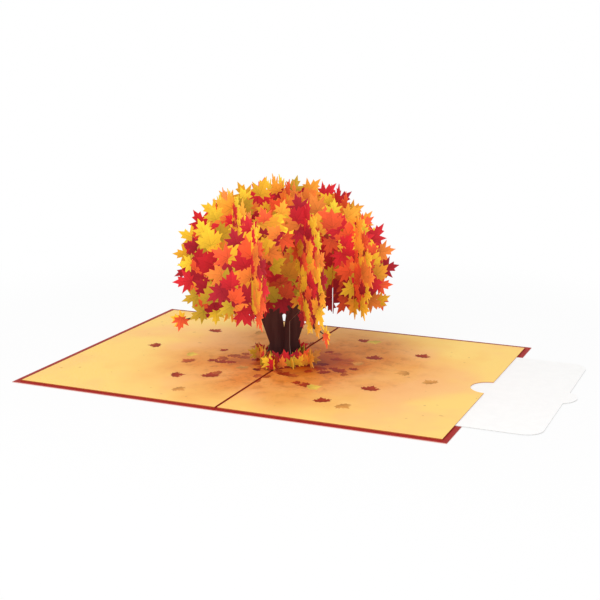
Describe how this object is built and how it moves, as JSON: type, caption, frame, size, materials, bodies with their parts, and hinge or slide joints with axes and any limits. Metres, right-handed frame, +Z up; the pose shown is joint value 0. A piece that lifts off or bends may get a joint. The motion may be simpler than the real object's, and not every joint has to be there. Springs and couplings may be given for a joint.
{
  "type": "pop-up card",
  "caption": "Open pop-up greeting card with an autumn maple tree of slotted paper sheets standing on the fold and a white note card that slides out of a pocket.",
  "frame": {"origin": "middle of the fold, on the cover's underside", "axes": "+X from the fold towards the note card, +Y along the fold away from the viewer, +Z up"},
  "size_m": [0.2995, 0.185, 0.1127],
  "materials": {
    "cover_red": "matt coated card",
    "liner_print": "matt printed paper",
    "glue_tape": "clear tape",
    "note_white": "smooth uncoated card",
    "tree_print": "printed and cut paper"
  },
  "bodies": {
    "card": {"cover": "cover_red", "left_liner": "liner_print", "right_liner": "liner_print", "left_glue_strips": "glue_tape", "right_glue_strips": "glue_tape", "tree_sheet_a_front": "tree_print", "tree_sheet_a_centre": "tree_print", "tree_sheet_a_back": "tree_print", "tree_sheet_b_left": "tree_print", "tree_sheet_b_centre": "tree_print", "tree_sheet_b_right": "tree_print", "leaf_pile_front": "tree_print", "leaf_pile_back": "tree_print", "leaf_pile_right": "tree_print", "leaf_pile_left": "tree_print"},
    "note": {"note_card": "note_white"}
  },
  "joints": [
    {"name": "note_slide", "type": "slide", "parent": "card", "child": "note", "axis": [1, 0, 0], "range_m": [-0.0455, 0.048]}
  ]
}
